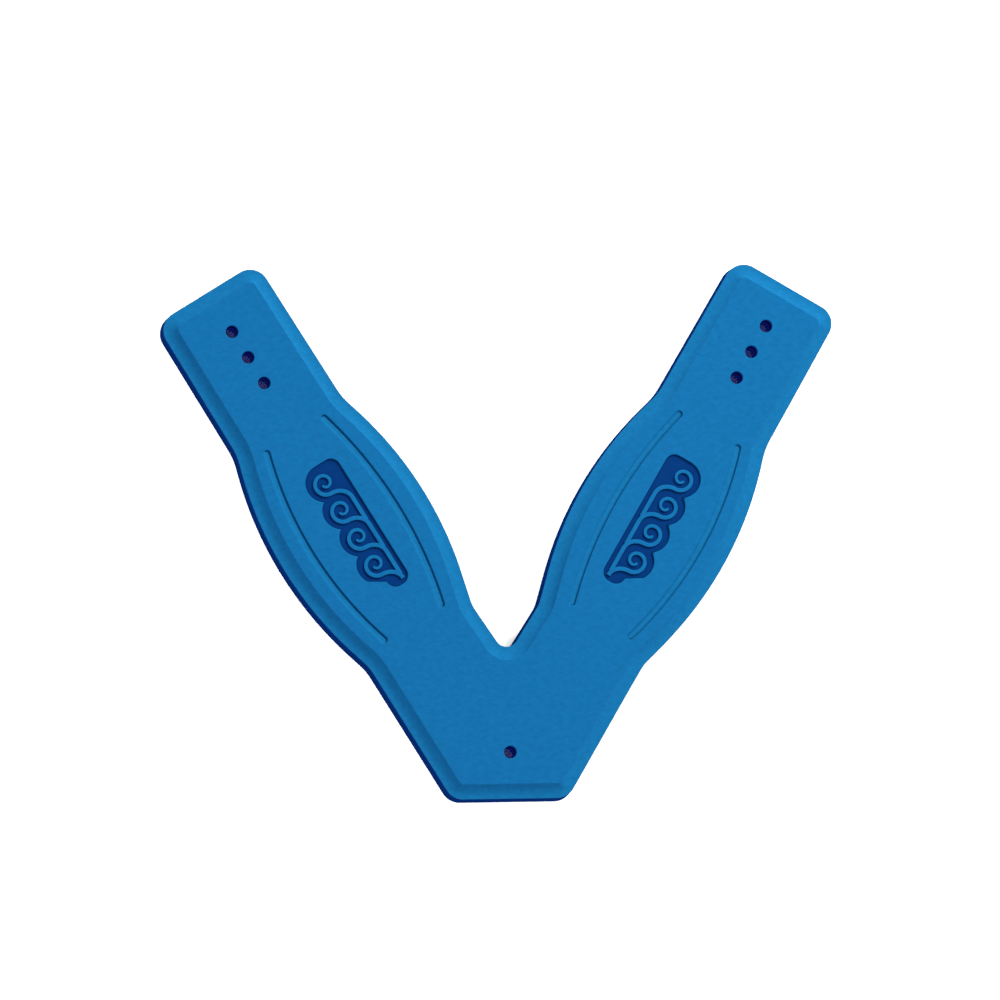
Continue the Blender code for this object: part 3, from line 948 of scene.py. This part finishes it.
def add_lamp(name, azimuth, elevation, energy):
    """A round soft lamp that looks at the strap."""
    direction = Vector(
        (
            math.cos(elevation) * math.cos(azimuth),
            math.cos(elevation) * math.sin(azimuth),
            math.sin(elevation),
        )
    )
    data = bpy.data.lights.new(name, "AREA")
    data.shape = "DISK"
    data.size = LAMP_SIZE
    data.energy = energy
    lamp = bpy.data.objects.new(name, data)
    lamp.location = direction * LAMP_DISTANCE
    lamp.rotation_euler = direction.to_track_quat("Z", "Y").to_euler()
    bpy.context.scene.collection.objects.link(lamp)
    return lamp


def make_light(floor):
    """A soft key lamp and a pale sky, and a second lamp that keeps the floor alone white."""
    key = add_lamp("key", KEY_AZIMUTH, KEY_ELEVATION, KEY_ENERGY)
    key.data.color = KEY_COLOUR
    sweep = add_lamp("floor_sweep", KEY_AZIMUTH + math.pi, SWEEP_ELEVATION, SWEEP_ENERGY)
    lit_floor = bpy.data.collections.new("lit_by_floor_sweep")
    lit_floor.objects.link(floor)
    sweep.light_linking.receiver_collection = lit_floor
    world = bpy.data.worlds.new("studio")
    world.use_nodes = True
    background = world.node_tree.nodes["Background"]
    background.inputs["Color"].default_value = (*SKY_COLOUR, 1.0)
    background.inputs["Strength"].default_value = SKY_STRENGTH
    bpy.context.scene.world = world


def make_camera():
    """The camera at the photo's angle."""
    back = Vector(
        (
            math.sin(CAMERA_TILT) * math.cos(CAMERA_AZIMUTH),
            math.sin(CAMERA_TILT) * math.sin(CAMERA_AZIMUTH),
            math.cos(CAMERA_TILT),
        )
    )
    right = Vector((0.0, 1.0, 0.0)).cross(back).normalized()
    up = back.cross(right)
    turned_right = right * math.cos(CAMERA_ROLL) + up * math.sin(CAMERA_ROLL)
    turned_up = up * math.cos(CAMERA_ROLL) - right * math.sin(CAMERA_ROLL)
    turn = Matrix((turned_right, turned_up, back)).transposed()
    data = bpy.data.cameras.new("camera")
    data.lens = LENS
    data.sensor_width = SENSOR
    data.clip_end = CAMERA_CLIP_END
    camera = bpy.data.objects.new("camera", data)
    place = CAMERA_TARGET + back * CAMERA_DISTANCE
    camera.matrix_world = Matrix.Translation(place) @ turn.to_4x4()
    bpy.context.scene.collection.objects.link(camera)
    bpy.context.scene.camera = camera


def dress_strap(frame_nodes):
    """Makes every piece of the strap and gives the frame's screw plates their material."""
    blue = foam_material("blue_foam_grain", BLUE, SKIN_GRAIN)
    cut_blue = foam_material("cut_foam_grain", CUT_BLUE, CUT_GRAIN, specular=0.02)
    navy = foam_material("navy_foam_grain", NAVY, SKIN_GRAIN, specular=0.0)
    # painted navy shade and glow for the walls of the screw holes in both foams
    painted_hole_walls = foam_material(
        "hole_wall_grain", PAINTED_HOLE_SHADE, SKIN_GRAIN, specular=0.0, painted_glow=PAINTED_HOLE_GLOW
    )
    emblem_navy = foam_material("emblem_navy_grain", EMBLEM_NAVY, EMBLEM_GRAIN)
    webbing = webbing_material("woven_webbing", WEBBING)
    plastic = plastic_material("moulded_plastic", PLASTIC)

    layers = (
        ("upper_foam_skin", upper_foam, [blue, cut_blue, painted_hole_walls], "blue_foam", "upper_foam"),
        ("lower_foam_skin", lower_foam, [navy, navy, painted_hole_walls], "navy_foam", "lower_foam"),
        ("webbing", webbing_core, [webbing], "black_webbing", "core"),
    )
    for layer, build, materials, slot, suffix in layers:
        for skin in divide(layer, build(), materials, suffix):
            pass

    for name, side in SIDES.items():
        base = emblem_base(name + "_emblem_inlay", side, emblem_navy)
        crests = emblem_crests(name + "_emblem_waves", side, blue)
        for piece, slot, suffix in (
            (base, "emblem_navy", "_emblem_base"),
            (crests, "blue_foam", "_emblem_crests"),
        ):
            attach(piece, name + "_pad")
            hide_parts(name + suffix)

    for name in frame_nodes:
        if name.endswith("_screw_plate"):
            plate = bpy.data.objects[name]
            plate.data.materials.clear()
            plate.data.materials.append(plastic)


dress_strap(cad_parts)
floor = make_stage()
make_light(floor)
make_camera()
bpy.context.scene.view_settings.view_transform = "Standard"
